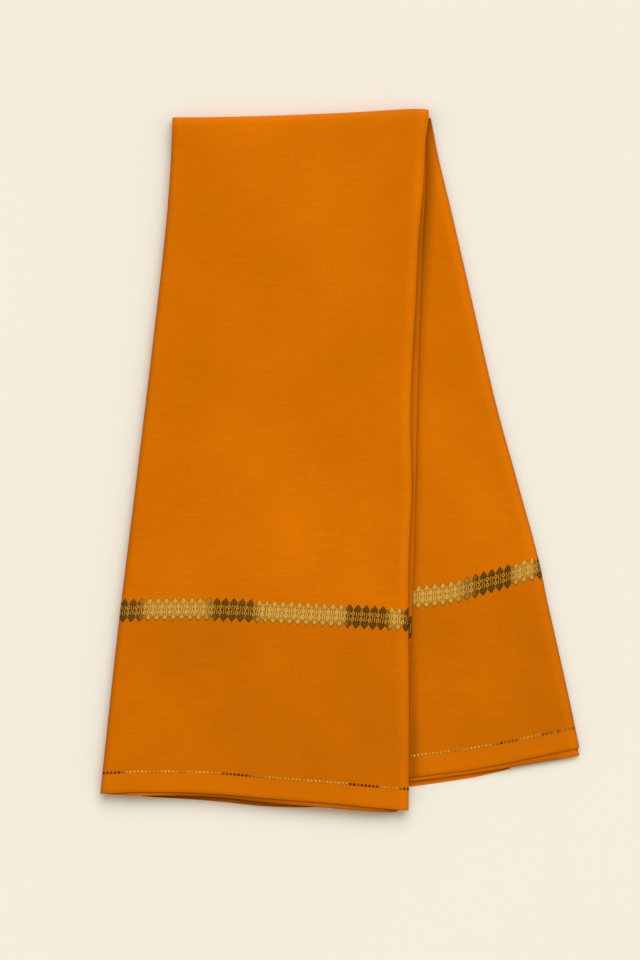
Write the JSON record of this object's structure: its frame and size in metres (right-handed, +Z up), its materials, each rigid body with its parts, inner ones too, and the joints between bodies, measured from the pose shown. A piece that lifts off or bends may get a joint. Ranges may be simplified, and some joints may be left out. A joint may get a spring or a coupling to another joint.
{
  "type": "folded silk saree",
  "caption": "Silk saree folded lengthwise into a strip and over at mid-width, lying flat, its lower stretch fanned out to one side, with a woven gold band and a dotted line above the hem",
  "frame": {"origin": "on the surface that the folded cloth lies on, under the middle of its bounding box", "axes": "+Z up from the surface; +Y along the folded strip, from the hems to the mid-width fold; +X to the side that the lower stretch fans out to"},
  "size_m": [0.3984, 0.5862, 0.0128],
  "materials": {
    "silk": "soft satin, fine crepe weave",
    "silk_shaded": "soft satin, fine crepe weave",
    "silk_inner": "soft satin, fine crepe weave"
  },
  "bodies": {
    "root": {"front_leaf": "silk", "front_turned_leaf": "silk_shaded", "fan_leaf": "silk", "fan_turned_leaf": "silk_shaded", "back_leaf": "silk_shaded", "folded_inner_layers": "silk_inner"}
  },
  "joints": []
}
